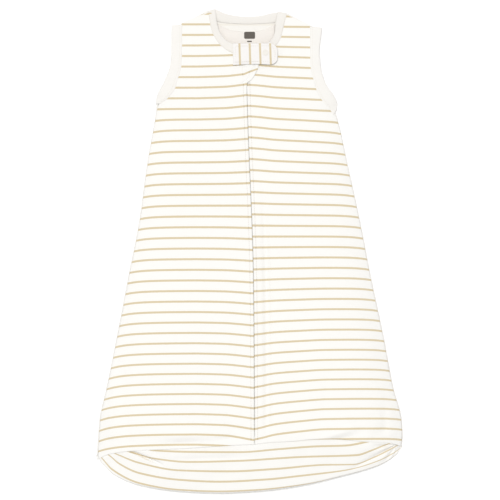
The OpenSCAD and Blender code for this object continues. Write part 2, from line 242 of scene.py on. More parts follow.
def build(name, points, faces, uv=None, smooth=True):
    mesh = bpy.data.meshes.new(name)
    mesh.from_pydata([tuple(p) for p in np.asarray(points)], [], [tuple(f) for f in faces])
    if smooth:
        mesh.polygons.foreach_set("use_smooth", [True] * len(mesh.polygons))
    if uv is not None:
        layer = mesh.uv_layers.new(name="cloth")
        loops = np.empty(len(mesh.loops), np.int32)
        mesh.loops.foreach_get("vertex_index", loops)
        layer.data.foreach_set("uv", np.asarray(uv, np.float32)[loops].ravel())
    mesh.update()
    obj = bpy.data.objects.new(name, mesh)
    bpy.context.scene.collection.objects.link(obj)
    return obj


def grid_faces(rows, cols, closed=False):
    i, j = np.meshgrid(np.arange(rows - 1), np.arange(cols if closed else cols - 1), indexing="ij")
    k = (j + 1) % cols
    quads = np.stack([i * cols + j, (i + 1) * cols + j, (i + 1) * cols + k, i * cols + k], -1)
    return quads.reshape(-1, 4).tolist()


def panel(name, x, y, z, u, v, thick, inner=None):
    """A sheet of cloth from a grid whose rows run towards the foot and columns towards +x."""
    rows, cols = x.shape
    obj = build(name, at(x, y, z).reshape(-1, 3), grid_faces(rows, cols),
                np.stack([u, v], -1).reshape(-1, 2))
    solid = obj.modifiers.new("thickness", "SOLIDIFY")
    solid.thickness = thick / 1000
    solid.offset = -1
    solid.material_offset = 1 if inner else 0
    return obj


def strip(name, seam, free, thick, around=14, power=3.0):
    """A folded band between two edges, each a row of points, with a rounded section."""
    seam, free = np.asarray(seam, float), np.asarray(free, float)
    a = np.linspace(0, 2 * math.pi, around, endpoint=False)
    across = np.sign(np.cos(a)) * np.abs(np.cos(a)) ** (2 / power)
    up = np.sign(np.sin(a)) * np.abs(np.sin(a)) ** (2 / power)
    mid, half = (seam + free) / 2, (free - seam) / 2
    pts = mid[:, None] + half[:, None] * across[None, :, None]
    pts[..., 2] += up[None, :] * thick / 2
    length = np.concatenate([[0], np.cumsum(np.linalg.norm(np.diff(mid, axis=0), axis=1))])
    width = np.linalg.norm(half, axis=1)
    uv = np.stack([np.repeat(length[:, None], around, 1), width[:, None] * across[None]], -1)
    n = len(seam)
    faces = [tuple(reversed(f)) for f in grid_faces(n, around, closed=True)]
    faces += [tuple(range(around)), tuple((n - 1) * around + i for i in reversed(range(around)))]
    obj = build(name, at(pts[..., 0], pts[..., 1], pts[..., 2]).reshape(-1, 3), faces,
                uv.reshape(-1, 2))
    fix_normals(obj)
    return obj


def tube(name, line, radius, sides=10, flat=1.0):
    line = np.asarray(line, float)
    tangent = np.gradient(line, axis=0)
    tangent /= np.linalg.norm(tangent, axis=1)[:, None]
    side = np.cross(tangent, [0, 0, 1.0])
    side /= np.linalg.norm(side, axis=1)[:, None]
    up = np.cross(side, tangent)
    a = np.linspace(0, 2 * math.pi, sides, endpoint=False)
    pts = line[:, None] + radius * (side[:, None] * np.cos(a)[None, :, None]
                                    + up[:, None] * flat * np.sin(a)[None, :, None])
    length = np.concatenate([[0], np.cumsum(np.linalg.norm(np.diff(line, axis=0), axis=1))])
    uv = np.stack([np.repeat(length[:, None], sides, 1),
                   np.repeat(a[None] * radius, len(line), 0)], -1)
    n = len(line)
    faces = grid_faces(n, sides, closed=True)
    faces += [tuple(range(sides)), tuple((n - 1) * sides + i for i in reversed(range(sides)))]
    obj = build(name, at(pts[..., 0], pts[..., 1], pts[..., 2]).reshape(-1, 3), faces,
                uv.reshape(-1, 2))
    fix_normals(obj)
    return obj


def fix_normals(obj):
    bm = bmesh.new()
    bm.from_mesh(obj.data)
    bmesh.ops.recalc_face_normals(bm, faces=bm.faces)
    bm.to_mesh(obj.data)
    bm.free()


def stitches(name, lines, pitch=3.3, length=2.3, radius=0.32):
    """A row of sewn stitches along each line: short rounded threads that dip at both ends."""
    points, faces = [], []
    ring = np.linspace(0, 2 * math.pi, 6, endpoint=False)
    along = np.array([-0.5, -0.38, 0.0, 0.38, 0.5])
    fat = np.array([0.35, 0.9, 1.0, 0.9, 0.35])
    dip = np.array([-0.45, -0.12, 0.12, -0.12, -0.45])
    for line in lines:
        line = np.asarray(line, float)
        d = np.concatenate([[0], np.cumsum(np.linalg.norm(np.diff(line, axis=0), axis=1))])
        for s in np.arange(pitch / 2, d[-1], pitch):
            q = np.array([[np.interp(s + k * length, d, line[:, i]) for i in range(3)]
                          for k in along])
            t = q[-1] - q[0]
            t /= np.linalg.norm(t) + 1e-9
            side = np.cross(t, [0, 0, 1.0])
            side /= np.linalg.norm(side) + 1e-9
            up = np.cross(side, t)
            base = len(points)
            for k in range(5):
                for a in ring:
                    points.append(q[k] + up * dip[k] + radius * fat[k]
                                  * (side * math.cos(a) + up * math.sin(a)))
            for k in range(4):
                for a in range(6):
                    b = (a + 1) % 6
                    faces.append((base + k * 6 + a, base + k * 6 + b, base + k * 6 + 6 + b,
                                  base + k * 6 + 6 + a))
            faces.append(tuple(base + a for a in reversed(range(6))))
            faces.append(tuple(base + 24 + a for a in range(6)))
    p = np.array(points)
    return build(name, at(p[:, 0], p[:, 1], p[:, 2]), faces)


# ---------------------------------------------------------------- materials


def new_material(name):
    m = bpy.data.materials.new(name)
    m.use_nodes = True
    nodes, links = m.node_tree.nodes, m.node_tree.links
    return m, nodes, links, nodes["Principled BSDF"]


def maths(nodes, links, kind, a, b=None, c=None, clamp=False):
    n = nodes.new("ShaderNodeMath")
    n.operation = kind
    n.use_clamp = clamp
    for i, v in enumerate((a, b, c)):
        if v is None:
            continue
        if isinstance(v, (int, float)):
            n.inputs[i].default_value = v
        else:
            links.new(v, n.inputs[i])
    return n.outputs[0]


def mixed(nodes, links, factor, a, b):
    n = nodes.new("ShaderNodeMix")
    n.data_type = "RGBA"
    for socket, v in ((n.inputs[0], factor), (n.inputs[6], a), (n.inputs[7], b)):
        if isinstance(v, (tuple, float, int)):
            socket.default_value = v
        else:
            links.new(v, socket)
    return n.outputs[2]


def noise(nodes, links, vector, scale, detail=2.0):
    n = nodes.new("ShaderNodeTexNoise")
    n.inputs["Scale"].default_value = scale
    n.inputs["Detail"].default_value = detail
    links.new(vector, n.inputs["Vector"])
    return n.outputs["Fac"]


def cloth_coords(nodes, links):
    uv = nodes.new("ShaderNodeUVMap")
    uv.uv_map = "cloth"
    split = nodes.new("ShaderNodeSeparateXYZ")
    links.new(uv.outputs[0], split.inputs[0])
    return uv.outputs[0], split.outputs[0], split.outputs[1]


def knit_height(nodes, links, u, v, wale, course):
    """Rows of small V stitches: columns one wale wide, rows one course high."""
    half = maths(nodes, links, "PINGPONG", u, wale / 2)
    slanted = maths(nodes, links, "ADD", v, half)
    row = maths(nodes, links, "SINE", maths(nodes, links, "MULTIPLY", slanted,
                                            2 * math.pi / course))
    col = maths(nodes, links, "SINE", maths(nodes, links, "MULTIPLY", u, 2 * math.pi / wale))
    return maths(nodes, links, "ADD", maths(nodes, links, "MULTIPLY", row, 0.5), col)


CLOTH_WHITE = (0.925, 0.915, 0.89, 1)
STRIPE_TAN = (0.665, 0.55, 0.345, 1)
TRIM_WHITE = (0.915, 0.897, 0.865, 1)


def finish_cloth(nodes, links, shader, color, height, strength, rough=0.88):
    links.new(color, shader.inputs["Base Color"])
    b = nodes.new("ShaderNodeBump")
    b.inputs["Strength"].default_value = strength
    b.inputs["Distance"].default_value = 0.0002
    links.new(height, b.inputs["Height"])
    links.new(b.outputs[0], shader.inputs["Normal"])
    shader.inputs["Roughness"].default_value = rough
    shader.inputs["Sheen Weight"].default_value = 0.12
    shader.inputs["Sheen Roughness"].default_value = 0.5
    shader.inputs["Specular IOR Level"].default_value = 0.2


def striped_cloth(name, base=CLOTH_WHITE, strength=1.0, dent_shade_at=()):
    """Off-white jersey with narrow tan stripes; UV is millimetres across, stripe number along.

    The seams listed by their place across get a row of painted shade, dark brown and strongest on the
    stripes, for the small dents the stitches pull into the cloth.
    """
    m, nodes, links, shader = new_material(name)
    _, u, k = cloth_coords(nodes, links)
    v = maths(nodes, links, "MULTIPLY", k, STRIPE_PITCH)
    scaled = nodes.new("ShaderNodeCombineXYZ")
    links.new(u, scaled.inputs[0])
    links.new(v, scaled.inputs[1])
    mm = scaled.outputs[0]
    wobble = maths(nodes, links, "MULTIPLY_ADD", noise(nodes, links, mm, 0.35, 3), 0.5, -0.25)
    off = maths(nodes, links, "PINGPONG", maths(nodes, links, "ADD", v, wobble), STRIPE_PITCH / 2)
    edge = maths(nodes, links, "SUBTRACT", 1.95, off)
    mask = maths(nodes, links, "MULTIPLY", edge, 1.4, clamp=True)
    fleck = maths(nodes, links, "MULTIPLY_ADD", noise(nodes, links, mm, 0.9, 2), 0.5, 0.68,
                  clamp=True)
    mask = maths(nodes, links, "MULTIPLY", mask, maths(nodes, links, "MULTIPLY", fleck, strength))
    tone = maths(nodes, links, "MULTIPLY_ADD", noise(nodes, links, mm, 0.02, 3), 0.5, 0.2)
    ground = mixed(nodes, links, tone, base,
                   (base[0] * 0.975, base[1] * 0.965, base[2] * 0.945, 1))
    speck = maths(nodes, links, "MULTIPLY_ADD", noise(nodes, links, mm, 1.1, 2), 0.5, -0.1,
                  clamp=True)
    ground = mixed(nodes, links, speck, ground,
                   (base[0] * 0.96, base[1] * 0.955, base[2] * 0.94, 1))
    color = mixed(nodes, links, mask, ground, STRIPE_TAN)
    # painted shade: a dark brown line along each seam, strongest on the stripes, where the stitches
    # dent the cloth
    for place in dent_shade_at:
        away = maths(nodes, links, "ABSOLUTE", maths(nodes, links, "SUBTRACT", u, place))
        near = maths(nodes, links, "SUBTRACT", 1.0, away, clamp=True)
        dent_shade = maths(nodes, links, "MULTIPLY", near, maths(nodes, links, "MULTIPLY_ADD", mask, 0.6,
                                                           0.05))
        color = mixed(nodes, links, dent_shade, color, (0.28, 0.22, 0.14, 1))
    height = knit_height(nodes, links, u, v, 1.3, 1.0)
    finish_cloth(nodes, links, shader, color, height, 0.35)
    return m


def rib_cloth(name, base=TRIM_WHITE, wale=1.6):
    """Fine rib knit: ridges across the band."""
    m, nodes, links, shader = new_material(name)
    uv, u, v = cloth_coords(nodes, links)
    ridge = maths(nodes, links, "SINE", maths(nodes, links, "MULTIPLY", u, 2 * math.pi / wale))
    cross = maths(nodes, links, "SINE", maths(nodes, links, "MULTIPLY", v, 2 * math.pi / 1.1))
    height = maths(nodes, links, "MULTIPLY_ADD", cross, 0.3, ridge)
    shade = maths(nodes, links, "MULTIPLY_ADD", ridge, 0.12, 0.15, clamp=True)
    tone = maths(nodes, links, "MULTIPLY_ADD", noise(nodes, links, uv, 0.06, 3), 0.4, 0.0)
    color = mixed(nodes, links, maths(nodes, links, "ADD", shade, tone, clamp=True), base,
                  (base[0] * 0.93, base[1] * 0.915, base[2] * 0.885, 1))
    finish_cloth(nodes, links, shader, color, height, 0.5)
    return m


def thread_material(name, color):
    m, nodes, links, shader = new_material(name)
    place = nodes.new("ShaderNodeTexCoord")
    twist = noise(nodes, links, place.outputs["Object"], 2500, 2)
    links.new(mixed(nodes, links, twist, color, (color[0] * 0.85, color[1] * 0.83,
                                                 color[2] * 0.8, 1)), shader.inputs["Base Color"])
    shader.inputs["Roughness"].default_value = 0.7
    return m


def hard_material(name, color, metal, rough):
    """Moulded or plated finish with a faint unevenness."""
    m, nodes, links, shader = new_material(name)
    place = nodes.new("ShaderNodeTexCoord")
    grain = noise(nodes, links, place.outputs["Object"], 900, 3)
    links.new(mixed(nodes, links, grain, color, (color[0] * 0.9, color[1] * 0.9, color[2] * 0.89,
                                                 1)), shader.inputs["Base Color"])
    b = nodes.new("ShaderNodeBump")
    b.inputs["Strength"].default_value = 0.15
    b.inputs["Distance"].default_value = 0.0001
    links.new(grain, b.inputs["Height"])
    links.new(b.outputs[0], shader.inputs["Normal"])
    links.new(maths(nodes, links, "MULTIPLY_ADD", grain, 0.12, rough - 0.06),
              shader.inputs["Roughness"])
    shader.inputs["Metallic"].default_value = metal
    return m


CLOTH = striped_cloth("striped_jersey")
FRONT_CLOTH = striped_cloth("striped_jersey_front", dent_shade_at=(STITCH_LEFT, STITCH_RIGHT))
# the tab's jersey: the same cloth with a slightly darker base, painted shade for the tab
SHADED_TAB_CLOTH = striped_cloth("striped_jersey_tab_shaded", (0.89, 0.87, 0.855, 1))
INSIDE = striped_cloth("striped_jersey_inside", (0.90, 0.88, 0.84, 1), 0.16)
RIB = rib_cloth("rib_binding")
NECK_RIB = rib_cloth("rib_neck_binding", (0.875, 0.85, 0.81, 1))
LINING = rib_cloth("plain_lining", (0.91, 0.89, 0.855, 1), 1.2)
FACING = rib_cloth("neck_facing_knit", (0.92, 0.88, 0.835, 1), 1.2)
TAPE = rib_cloth("zip_tape_weave", (0.86, 0.845, 0.81, 1), 0.9)
THREAD = thread_material("sewing_thread", (0.84, 0.80, 0.73, 1))
COIL = hard_material("coil_plastic", (0.86, 0.85, 0.82, 1), 0.0, 0.4)
METAL = hard_material("nickel", (0.62, 0.61, 0.60, 1), 1.0, 0.32)
SNAP = hard_material("snap_enamel", (0.84, 0.81, 0.75, 1), 0.0, 0.62)
PRINT = rib_cloth("label_print", (0.14, 0.125, 0.11, 1), 1.2)


def dress(obj, material, other_side=None):
    obj.data.materials.clear()
    obj.data.materials.append(material)
    if other_side:
        obj.data.materials.append(other_side)
    return obj


# ---------------------------------------------------------------- the flaps' crease

CREASE_BAND = 10.0
CREASE_TOP = {"left": (-52.5, 376.0), "right": (48.5, 372.0)}


def bend(obj, side):
    """Bakes the piece's placement into its mesh; the crease band's ends, from the top of the crease
    inward towards the zip, are worked out but not used.
    """
    top = np.array(CREASE_TOP[side])
    foot = np.array([float(zip_x(OPEN_END_Y)), OPEN_END_Y])
    run = (foot - top) / np.linalg.norm(foot - top)
    inward = np.array([-run[1], run[0]]) * (1 if side == "left" else -1)
    start, end = top, top + inward * CREASE_BAND
    tuple(at(*start, 0))
    tuple(at(*end, 0))
    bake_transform(obj)


# ---------------------------------------------------------------- front

arm_seam_left = [(351, -104), (312, -104), (298, -104), (285, -105), (270, -110), (253, -115),
                 (237, -127), (228, -139)]
arm_seam_right = [(348, 98), (309, 98), (298, 98), (283, 99), (251, 106), (234, 115), (216, 132)]
side_left = [(209, -143), (135, -156), (48, -168), (-39, -185), (-138, -204), (-212, -219),
             (-262, -230), (-301, -233), (-318, -234)]
side_right = [(209, 137), (135, 154), (48, 173), (-39, 190), (-138, 211), (-212, 225),
              (-262, 238), (-287, 239.5), (-303, 238)]
outer_left = spline([(371, -64)] + arm_seam_left + side_left)
outer_right = spline([(366, 62)] + arm_seam_right + side_right)
neck_under_left = [(311, -8), (314.5, -24), (322, -36.5), (335, -46.5), (344.5, -51.5),
                   (358, -55), (371, -57)]
neck_under_right = [(312, 4), (313.5, 17), (320, 36), (334, 45.5), (344.5, 48), (356, 49.5),
                    (366, 53)]
hem_line = spline([(-236, -322), (-231, -320.5), (-217.6, -314.6), (-188, -309), (-145, -306),
                   (-90, -303.5), (-34, -299.6), (9, -297.6), (35, -294.6), (66.7, -293),
                   (108, -289.6), (143, -290), (171.7, -293), (200, -295), (219.5, -296.7),
                   (239.5, -302)])
HEM_ROLL = 2.6


def inner_left(y):
    """Edge of the left front: the zip line, then the corner folded over below the tab."""
    line = zip_x(y) - 0.12
    over = spline([(256, -1.9), (261, -1.2), (265.4, 4.6), (270, 8.4), (275.5, 11.7), (283, 15.2),
                   (288, 16.4), (302, 13), (308, 6), (311, -6)])(y)
    neck = spline(neck_under_left)(y)
    return np.where(y < 256, line, np.where(y < 311, over, neck))


def inner_right(y):
    return np.where(y < 312, zip_x(y) + 0.12, spline(neck_under_right)(y))


def front(side):
    left = side == "left"
    inner, outer = (inner_left, outer_left) if left else (inner_right, outer_right)
    stripes = stripes_left if left else stripes_right
    top = 371.0 if left else 366.0
    ys = np.concatenate([np.arange(top, 350, -2.6), np.arange(350, 328, -1.0),
                         np.arange(328, 304, -0.5), np.arange(304, 254, -1.0),
                         np.arange(254, -254, -2.6)])
    steps = np.linspace(0, 1, 74)
    steps = np.where(steps < 0.5, steps**1.15 * 0.5**-0.15, 1 - (1 - steps) ** 1.15 * 0.5**-0.15)
    rows = []
    for y in ys:
        a, b = float(inner(y)), float(outer(y))
        rows.append([(a + (b - a) * s, y, 0.0) for s in steps])
    low = -255.0
    for f in np.linspace(0, 1, 26)[1:]:
        a, b = float(inner(low - 40 * f)), float(outer(low - 50 * f))
        row = []
        for s in steps:
            x = a + (b - a) * s
            row.append((x, low + (float(hem_line(x)) - low) * f, 0.0))
        rows.append(row)
    hem_row = rows[-1]
    for f in np.linspace(0, 1, 6)[1:]:
        rows.append([(x, float(hem_line(x)) - 1.6 * math.sin(f * math.pi / 2), f)
                     for x, _, _ in hem_row])
    g = np.array(rows)
    if left:
        g = g[:, ::-1]
    x, y, f = g[..., 0], g[..., 1], g[..., 2]
    z = front_z(x, y)
    if left:
        over = ramp(x - zip_x(y), -4, 3) * ramp(y, 255, 262)
        rim = (inner_left(y) - x) * 0.65
        z = z + 1.9 * over - 1.2 * bump(rim, 4.2, 0.9) * ramp(y, 256, 262) * ramp(y, 312, 296)
    else:
        z = z - 3.0 * bump(x, -1.2, 3.0) * bump(y, 260, 4.5)
    room = np.clip((cloth_h(x, y) - EDGE_H) / 12, 0, 1)
    z = z - HEM_ROLL * room * (1 - np.cos(f * math.pi / 2)) - 0.8 * ramp(y, -284, -296) * room
    obj = panel("front_" + side, x, y, z, x - zip_x(y), stripes(x, y), CLOTH_THICK,
                INSIDE)
    dress(obj, FRONT_CLOTH, INSIDE)
    bend(obj, side)
    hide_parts("front_side_" + side, "front_flap_" + side)
    if not left:
        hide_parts("hem_seam")


front("left")
front("right")

# ---------------------------------------------------------------- foot panel

FOOT_LEFT, FOOT_RIGHT = -235.5, 239.0
FOOT_PITCH = 15.4  # of the stripes above the first line and below the last
FOOT_CREASE_AT = (-183, -309)  # neck end of the diagonal crease
GATHER_AT = (232, -300)  # corner from which the gathers spread

foot_edge = spline([(-236, -318), (-232, -324), (-223, -334), (-209, -348), (-168, -365),
                    (-107, -374.5), (-45.6, -377.3), (15.5, -374.5), (77, -366.5), (138, -352.5),
                    (200, -335), (222, -323.5), (234, -313), (239.5, -304)])
foot_stripes = [spline(line) for line in (
    [(-236, -296), (-183, -301), (-142, -308.6), (-91, -310.4), (-12, -311), (46, -306.5),
     (107, -302), (150, -300.9), (186, -294.7), (240, -285)],
    [(-236, -300), (-183, -311), (-150, -320), (-91, -326.3), (-15, -324.4), (77, -318.8),
     (169, -316), (192, -308.6), (212, -301), (240, -292)],
    [(-236, -304), (-203, -315), (-171, -327), (-107, -339.2), (-30, -341), (46, -337),
     (123, -331), (163, -331), (197, -319.5), (218, -309.3), (240, -298)],
    [(-236, -309), (-217, -315.6), (-199, -330), (-168, -344), (-107, -354), (-45, -357.2),
     (31, -353.4), (77, -348.5), (153, -339), (197, -327), (230, -311.5), (240, -303)],
    [(-236, -314), (-229, -319.5), (-211, -339), (-168, -359.8), (-107, -370), (-45, -372.5),
     (15, -370.3), (77, -363.8), (138, -353.5), (205, -332.5), (232, -315), (240, -306)],
)]


def foot_rows(x, y):
    """Stripe number at a place on the foot panel."""
    lines = [line(x) for line in foot_stripes]
    rows = 1 - (y - lines[0]) / FOOT_PITCH
    for i in range(4):
        between = i + 1 + (lines[i] - y) / (lines[i] - lines[i + 1])
        rows = np.where(y <= lines[i], between, rows)
    return np.where(y <= lines[4], 5 + np.clip((lines[4] - y) / FOOT_PITCH, 0, 0.45), rows)


def foot_panel():
    s = np.linspace(0, 1, 260)
    wide = FOOT_RIGHT - FOOT_LEFT
    xs = FOOT_LEFT + wide * (0.5 - 0.5 * np.cos(np.pi * s)) * 0.35 + wide * s * 0.65
    vs = np.sin(np.linspace(0, math.pi / 2, 84))
    x, v = np.meshgrid(xs, vs)
    y0, y1 = hem_line(x) + 2.5, foot_edge(x) + 0.8
    y1 = np.minimum(y1, y0 - 4)
    y = y0 + (y1 - y0) * v
    top = np.maximum(cloth_h(x, hem_line(x)) - 3.0, EDGE_H - 0.4)
    wall = (top - EDGE_H) * 0.6 * v**90
    z = EDGE_H + (top - EDGE_H) * (1 - 0.4 * v) - wall
    z = z + folds(x, hem_line(x)) * (1 - ramp(v, 0, 0.22))
    run, fall = 46.0, -20.0
    size = math.hypot(run, fall)
    dx, dy = x - FOOT_CREASE_AT[0], y - FOOT_CREASE_AT[1]
    away = (dx * -fall + dy * run) / size
    along = (dx * run + dy * fall) / size
    crease = ramp(along, -5, 8) * (1 - ramp(along, 38, 60))
    z = z - 6.5 * bump(away, 0, 1.9) * crease + 2.0 * bump(away, 5.5, 5) * crease
    dx, dy = x - GATHER_AT[0], y - GATHER_AT[1]
    corner = np.arctan2(dy, dx)
    reach = np.hypot(dx, dy)
    z = z + 1.8 * np.sin(corner * 15) * bump(reach, 20, 17) * (1 - v**6)
    ridge = y + 322 - 0.52 * (x - 190)
    z = z - 2.4 * bump(ridge, 0, 3.2) * ramp(x, 150, 185) * ramp(x, 238, 222)
    z = z + 1.6 * bump(x, 186, 14) * bump(y, -306, 8)
    z = z + (0.6 * np.sin(x / 23) + 0.4 * np.sin(x / 9 + 5 * v)) * np.sin(np.pi * v)
    z = z - 1.2 * bump(y + 318 - 0.04 * x, 0, 4) * bump(x, -60, 60)
    z = np.maximum(z, 1.4)
    rows = foot_rows(x, y) + wall / STRIPE_PITCH
    obj = panel("foot_panel", x, y, z, x, rows, CLOTH_THICK, INSIDE)
    dress(obj, CLOTH, INSIDE)
    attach(obj, "bag")
    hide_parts("foot_gusset")


foot_panel()

# ---------------------------------------------------------------- back, facing and mark

BACK_TOP = np.array([(-104, 351), (-64, 370), (-61, 366), (-50, 359), (-25, 355.5), (-2, 354.5),
                     (20, 355), (42, 357), (57, 362), (61, 365.5), (98, 348)])


def back_sheet():
    """The back lies flat, from the shoulders and the neck seam to the foot seam."""
    cols = 91
    xs = np.linspace(-103.8, 97.8, cols)
    top = np.interp(xs, BACK_TOP[:, 0], BACK_TOP[:, 1])
    rows = [[(x, t + (340 - t) * f) for x, t in zip(xs, top)] for f in np.linspace(0, 1, 9)]
    for y in np.arange(335, -300, -5.0):
        a, b = float(outer_left(y)), float(outer_right(y))
        rows.append([(a + (b - a) * s, y) for s in np.linspace(0, 1, cols)])
    a, b = float(outer_left(-303)), float(outer_right(-303))
    for f in np.linspace(0, 1, 22):
        rows.append([(x, -300 + (min(float(foot_edge(x)) + 1.0, -302) + 300) * f)
                     for x in np.linspace(a, b, cols)])
    g = np.array(rows)
    x, y = g[..., 0], g[..., 1]
    z = BACK_Z + 0.12 * np.sin(x / 19) * np.sin(y / 27)
    obj = panel("back_panel_cloth", x, y, z, x, stripe_left(y), CLOTH_THICK, CLOTH)
    dress(obj, INSIDE, CLOTH)
    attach(obj, "bag")
    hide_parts("back_panel")


back_sheet()


def facing():
    """Half-moon facing inside the back of the neck."""
    t = np.linspace(0, 1, 40)
    xs = -48 + 90 * t
    upper = spline([(-48, 353), (-36, 347), (-22, 342.5), (-2, 341), (18, 342.5), (31, 347),
                    (42, 352)])(xs)
    lower = 353 - 64 * np.sqrt(np.clip(1 - ((xs + 3) / 46) ** 2, 0, 1))
    lower = np.minimum(lower, upper - 0.5)
    v = np.linspace(0, 1, 20)[:, None]
    x = np.repeat(xs[None], 20, 0)
    y = upper[None] + (lower - upper)[None] * v
    z = np.full_like(x, 2.25) + 0.15 * np.sin(x / 7)
    obj = panel("neck_facing_cloth", x, y, z, x, y, 0.8)
    dress(obj, FACING)
    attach(obj, "bag")
    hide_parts("back_neck_facing")


facing()


def plain_mark():
    """A plain dark patch with a short bar under it, where a size label is printed."""
    pieces = []
    for x0, x1, y0, y1, r in ((-6, 11, 330, 341, 2.2), (-1.5, 6, 325, 327, 0.9)):
        a = np.linspace(0, 2 * math.pi, 40, endpoint=False)
        cx = np.where(np.cos(a) > 0, x1 - r, x0 + r) + r * np.cos(a)
        cy = np.where(np.sin(a) > 0, y1 - r, y0 + r) + r * np.sin(a)
        pieces.append((cx, cy))
    pts, faces = [], []
    for cx, cy in pieces:
        base = len(pts)
        for z in (2.35, 2.6):
            pts += list(zip(cx, cy, [z] * 40))
        faces.append(tuple(base + 40 + k for k in range(40)))
        faces.append(tuple(base + k for k in reversed(range(40))))
        faces += [(base + k, base + (k + 1) % 40, base + 40 + (k + 1) % 40, base + 40 + k)
                  for k in range(40)]
    p = np.array(pts)
    obj = build("neck_mark", at(p[:, 0], p[:, 1], p[:, 2]), faces, p[:, :2], smooth=False)
    dress(obj, PRINT)
    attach(obj, "bag")
    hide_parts("printed_label")


plain_mark()

# ---------------------------------------------------------------- bindings


def raised(points, lift):
    p = np.asarray(points, float)
    return np.column_stack([p, front_z(p[:, 0], p[:, 1]) + lift])


def neck_front(side):
    if side == "left":
        seam = [(-62, 373), (-61, 364), (-59.5, 355), (-57.5, 345), (-53.5, 335), (-42, 318.5),
                (-25, 307.5), (-12, 304), (-4.6, 303)]
        free = [(-50.5, 376), (-49.5, 366), (-48.5, 358), (-45.5, 345), (-41, 336), (-32, 326.5),
                (-21, 321.5), (-12, 319), (-4.6, 318)]
    else:
        seam = [(60.5, 369), (58.5, 360), (56, 350), (51.5, 332), (40.5, 316), (24, 306.5),
                (10, 303.5), (-3.4, 303)]
        free = [(46.5, 372), (44, 362), (42.5, 354), (41, 338), (34, 325.5), (20, 320.5),
                (8, 318.5), (-3.4, 318)]
    a, b = path(seam, 70), path(free, 70)
    a, b = raised(a, -0.3), raised(b, -0.6)
    for edge in (a, b):
        edge[:, 2] -= 2.4 * ramp(edge[:, 1], 363, 375)
    obj = strip("neck_binding_front_" + side, a, b, 3.0)
    dress(obj, NECK_RIB)
    bend(obj, side)
    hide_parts("neck_binding_" + side)


neck_front("left")
neck_front("right")


def neck_back():
    seam = path([(-60, 365), (-50, 357), (-25, 353.6), (-2, 352.6), (20, 353.2), (42, 355), (58, 362)],
                80)
    free = path([(-55, 375.5), (-48, 374.5), (-38, 370), (-25, 366.5), (-1.6, 364), (22, 366),
                 (36, 369.5), (52, 371.5)], 80)
    seam = np.column_stack([seam, np.full(80, 1.45)])
    free = np.column_stack([free, np.full(80, 2.0)])
    obj = strip("neck_binding_rear", seam, free, 2.7)
    dress(obj, NECK_RIB)
    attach(obj, "bag")
    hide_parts("neck_binding_back")


neck_back()

ARM_LEFT = [((-104, 352), (-119, 350.5)), ((-104, 330), (-119, 331)), ((-104, 312), (-119, 312)),
            ((-104.5, 296), (-120, 296)), ((-105.5, 284), (-122, 284)), ((-110, 269), (-127, 271)),
            ((-115.5, 252), (-133, 258)), ((-126, 238), (-142, 240)), ((-137, 229), (-143.5, 229))]
ARM_RIGHT = [((98, 349), (115, 347)), ((98, 330), (113, 330)), ((98, 309), (111, 309)),
             ((98, 296), (112, 296)), ((99, 283), (113.5, 284)), ((103, 266), (116.5, 271)),
             ((107.5, 250), (122, 258)), ((116, 233), (134, 241)), ((129, 219), (139, 228)),
             ((133, 212), (138, 219))]


def armhole(side):
    pairs = ARM_LEFT if side == "left" else ARM_RIGHT
    seam, free = path([p[0] for p in pairs], 80), path([p[1] for p in pairs], 80)
    seam = seam + (seam - free) * 0.13
    top = strip("armhole_binding_front_" + side,
                np.column_stack([seam, cloth_h(seam[:, 0], seam[:, 1]) - 0.4]),
                np.column_stack([free, cloth_h(free[:, 0], free[:, 1]) - 0.6]), 2.6)
    dress(top, RIB)
    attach(top, "bag")
    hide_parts("armhole_binding_" + side)
    low = strip("armhole_binding_back_" + side, np.column_stack([seam, np.full(80, BACK_Z)]),
                np.column_stack([free, np.full(80, BACK_Z)]), 2.2)
    dress(low, RIB)
    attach(low, "bag")
    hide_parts("armhole_binding_" + side)


armhole("left")
armhole("right")

# ---------------------------------------------------------------- seams


def edge_seam(name, line, nodes, radius=1.35, z=1.5):
    line = path(line, 160)
    obj = tube(name, np.column_stack([line, np.full(len(line), z)]), radius, 10)
    dress(obj, LINING)
    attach(obj, "bag")
    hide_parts(*nodes)


edge_seam("side_seam_roll_left", [(-140.6, 230)] + [(x, y) for y, x in side_left],
          ["side_seam_left"])
edge_seam("side_seam_roll_right", [(133.6, 217.5)] + [(x, y) for y, x in side_right],
          ["side_seam_right"])
edge_seam("foot_seam_roll", [(x, float(foot_edge(x)) + 1.7)
                             for x in np.linspace(FOOT_LEFT, FOOT_RIGHT, 60)], ["foot_seam"])


def shoulder(side):
    ends = ((-103.5, 350.8), (-62, 371)) if side == "left" else ((97.5, 347.6), (60, 367))
    line = path(ends, 30)
    obj = tube("shoulder_roll_" + side, np.column_stack([line, np.full(30, 3.4)]), 2.6, 12, 1.2)
    dress(obj, LINING)
    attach(obj, "bag")
    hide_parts("shoulder_seam_" + side)


shoulder("left")
shoulder("right")

# ---------------------------------------------------------------- zip


def below_front(x, y, drop):
    return np.column_stack([x, y, front_z(x, y) - drop])


